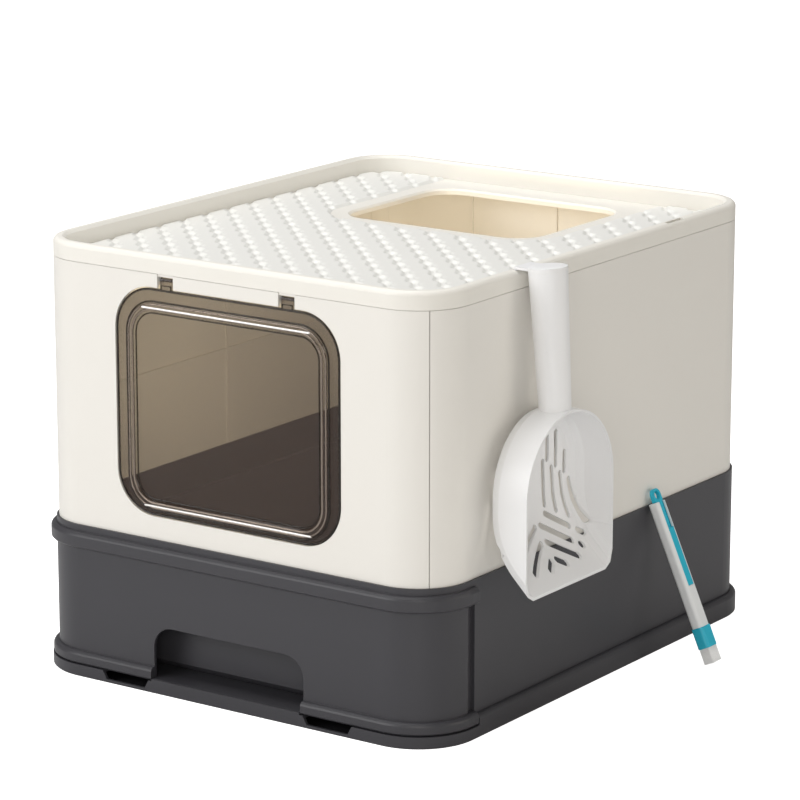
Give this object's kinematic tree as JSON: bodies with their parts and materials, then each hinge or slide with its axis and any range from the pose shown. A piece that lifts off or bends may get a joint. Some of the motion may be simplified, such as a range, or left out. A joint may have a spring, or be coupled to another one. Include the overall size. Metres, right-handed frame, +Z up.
{
  "type": "drawer litter box",
  "caption": "Enclosed pet litter box: slide-out tray drawer, hood with a see-through swing flap, lid with a top exit, and a slotted scoop and small brush at its side.",
  "frame": {"origin": "on the floor under the centre of the box's own footprint, at the base floor's centre foot", "axes": "+X to the box's right seen from the front, where the scoop and brush are; the drawer and flap face -Y; +Z up"},
  "size_m": [0.4906, 0.519, 0.3822],
  "materials": {
    "dark_plastic": "fine satin grain",
    "hood_plastic": "fine satin grain",
    "lid_plastic": "satin, tread pattern on the deck",
    "smoked_clear": "smooth smoked see-through plastic",
    "pin_steel": "plain",
    "white_plastic": "satin",
    "grey_plastic": "satin",
    "cyan_plastic": "satin",
    "bristle": "fine strands"
  },
  "bodies": {
    "base": {"base_floor": "dark_plastic", "base_shell": "dark_plastic", "front_panel": "hood_plastic", "back_panel": "hood_plastic", "left_panel": "hood_plastic", "right_panel": "hood_plastic", "flap_pin_left": "pin_steel", "flap_pin_right": "pin_steel"},
    "drawer": {"drawer_tray": "dark_plastic", "drawer_front": "dark_plastic"},
    "lid": {"lid": "lid_plastic"},
    "flap": {"flap_door": "smoked_clear"},
    "scoop": {"scoop_body": "white_plastic", "scoop_cap": "white_plastic"},
    "brush": {"brush_handle": "grey_plastic", "brush_core": "cyan_plastic", "brush_ferrule": "cyan_plastic", "brush_bristles": "bristle"}
  },
  "joints": [
    {"name": "drawer_slide", "type": "slide", "parent": "base", "child": "drawer", "axis": [0, -1, 0], "range_m": [0, 0.4]},
    {"name": "lid_lift", "type": "slide", "parent": "base", "child": "lid", "axis": [0, 0, 1], "range_m": [0, 0.06]},
    {"name": "flap_swing", "type": "hinge", "parent": "base", "child": "flap", "pos_m": [0, -0.248, 0.356], "axis": [1, 0, 0], "range_deg": [-75, 75]},
    {"name": "scoop_lift", "type": "slide", "parent": "lid", "child": "scoop", "axis": [0, 0, 1], "range_m": [0, 0.04]},
    {"name": "brush_pull", "type": "slide", "parent": "base", "child": "brush", "axis": [1, 0, 0], "range_m": [0, 0.15]}
  ]
}
